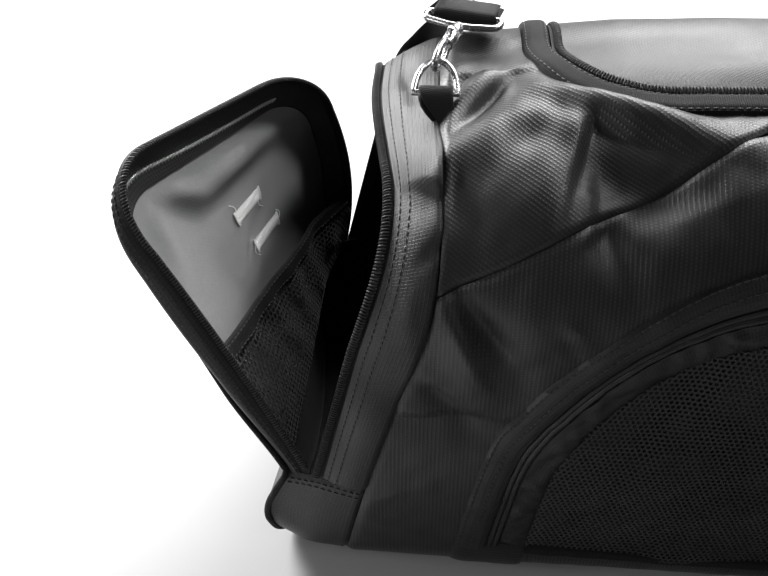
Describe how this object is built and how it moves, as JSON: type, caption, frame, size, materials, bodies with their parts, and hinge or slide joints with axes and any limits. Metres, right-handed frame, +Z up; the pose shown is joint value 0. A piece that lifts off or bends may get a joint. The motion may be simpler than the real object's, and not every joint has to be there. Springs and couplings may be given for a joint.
{
  "type": "sports travel bag",
  "caption": "Black sports travel bag standing on its base, with a zipped lid, an arched front pocket, a shoulder strap and its end pocket unzipped, the end flap leaning out.",
  "frame": {"origin": "on the floor, under the middle of the bag's base", "axes": "+Z up, +X along the bag away from the open end, -Y to the front with the arched pocket"},
  "size_m": [0.7166, 0.2834, 0.322],
  "materials": {
    "black_cloth": "woven nylon with a slight sheen",
    "coated_cloth": "grey coated inside, black woven outside",
    "net": "open knitted net",
    "webbing": "matt woven tape",
    "zip_coil": "nylon coil on woven tape",
    "bright_metal": "bright plated metal"
  },
  "bodies": {
    "root": {"base_panel": "black_cloth", "front_panel": "black_cloth", "upper_panel": "black_cloth", "back_panel": "black_cloth", "end_band": "black_cloth", "hinge_gusset": "black_cloth", "end_panel": "coated_cloth", "flap_gusset": "black_cloth", "end_piping": "webbing", "rim_zip": "zip_coil", "flap_zip": "zip_coil", "end_slider": "bright_metal", "mesh_pocket": "net", "mesh_hem": "webbing", "right_band": "black_cloth", "right_panel": "black_cloth", "right_piping": "webbing", "pocket_band": "black_cloth", "pocket_zip": "zip_coil", "pocket_facing": "black_cloth", "pocket_mesh": "net", "pocket_slider": "bright_metal", "pocket_tab_left": "black_cloth", "pocket_tab_right": "black_cloth", "lid_band": "webbing", "lid_zip": "zip_coil", "lid_panel": "black_cloth", "lid_slider": "bright_metal", "strap_tab_left": "webbing", "d_ring_left": "bright_metal", "snap_hook_left": "bright_metal", "strap_tab_right": "webbing", "d_ring_right": "bright_metal", "snap_hook_right": "bright_metal", "shoulder_strap": "webbing"}
  },
  "joints": []
}
